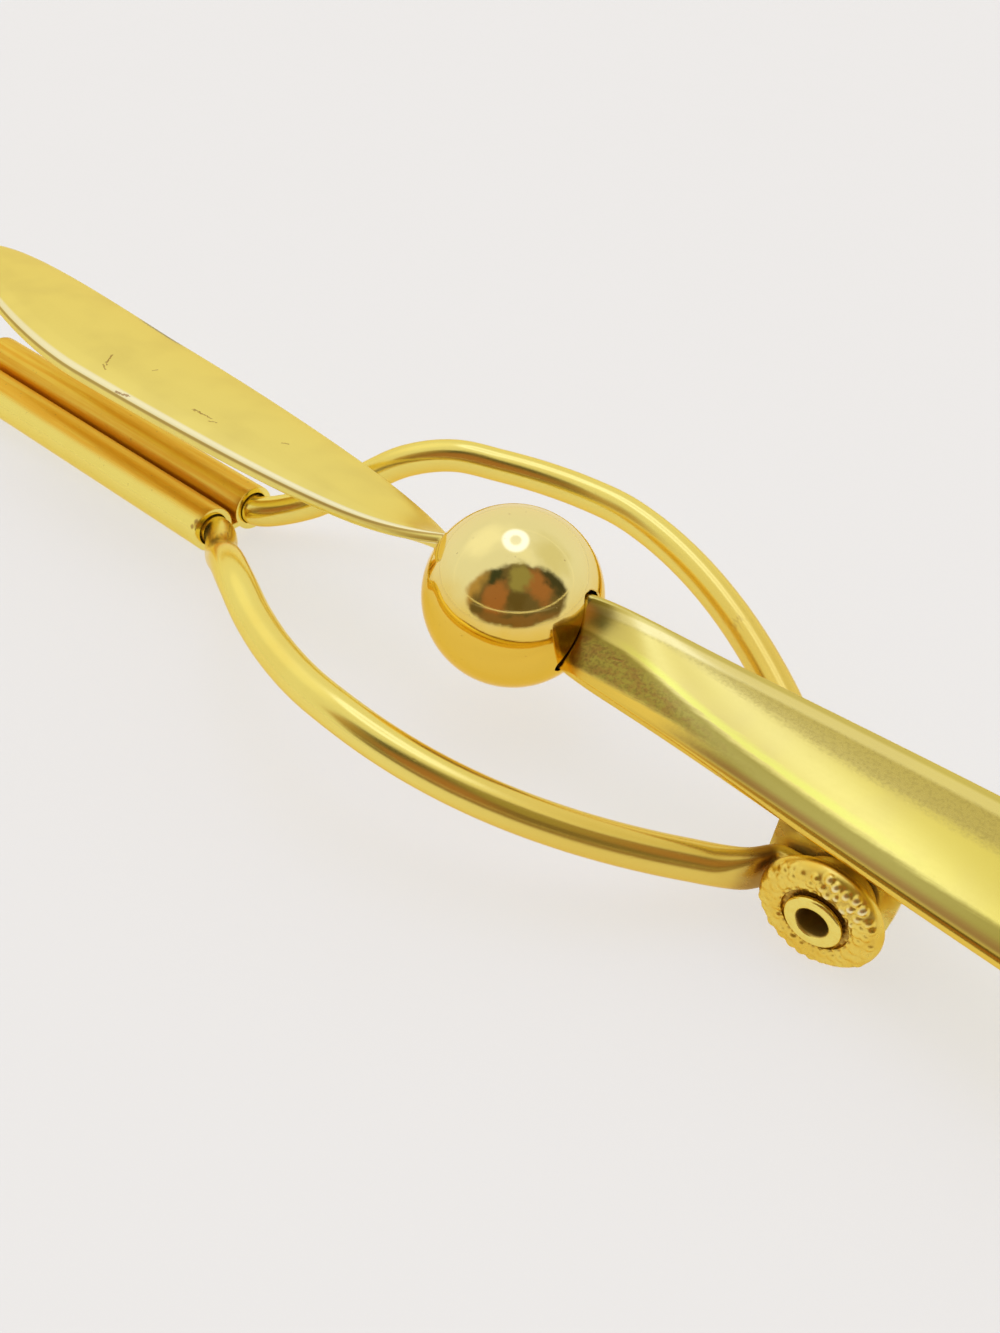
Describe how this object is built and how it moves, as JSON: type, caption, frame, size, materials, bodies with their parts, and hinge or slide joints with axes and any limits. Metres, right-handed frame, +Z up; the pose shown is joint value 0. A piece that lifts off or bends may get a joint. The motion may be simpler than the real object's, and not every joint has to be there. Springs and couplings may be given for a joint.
{
  "type": "tie bar",
  "caption": "Gold-tone tie bar shaped as an aircraft propeller on a ball hub, with a sprung wire clip hinged on a wheeled axle under one blade.",
  "frame": {"origin": "on the surface it lies on, under the middle of its bounding box", "axes": "+X along the propeller towards the blade that carries the hinge, +Y across to the far side, +Z up"},
  "size_m": [0.0622, 0.0148, 0.0073],
  "materials": {
    "polished_gold": "mirror polished gold tone, lightly worn",
    "satin_gold": "satin gold tone with fine scratches and pits",
    "textured_gold": "stamped, dimpled gold tone"
  },
  "bodies": {
    "propeller": {"right_blade": "satin_gold", "left_blade": "satin_gold", "hub_ball": "polished_gold", "hinge_bracket": "satin_gold", "axle_rivet": "polished_gold"},
    "clip_arm": {"near_wire": "polished_gold", "far_wire": "polished_gold", "jaw_sleeve": "polished_gold"},
    "near_wheel": {"near_wheel": "textured_gold"},
    "far_wheel": {"far_wheel": "textured_gold"}
  },
  "joints": [
    {"name": "clip_hinge", "type": "hinge", "parent": "propeller", "child": "clip_arm", "pos_m": [0.01242, 0, 0.00175], "axis": [0, -1, 0], "range_deg": [-3, 30], "stiffness_Nm_per_rad": 0.25},
    {"name": "near_wheel_spin", "type": "hinge", "parent": "propeller", "child": "near_wheel", "pos_m": [0.01242, 0, 0.00175], "axis": [0, 1, 0], "continuous": true},
    {"name": "far_wheel_spin", "type": "hinge", "parent": "propeller", "child": "far_wheel", "pos_m": [0.01242, 0, 0.00175], "axis": [0, 1, 0], "continuous": true}
  ]
}
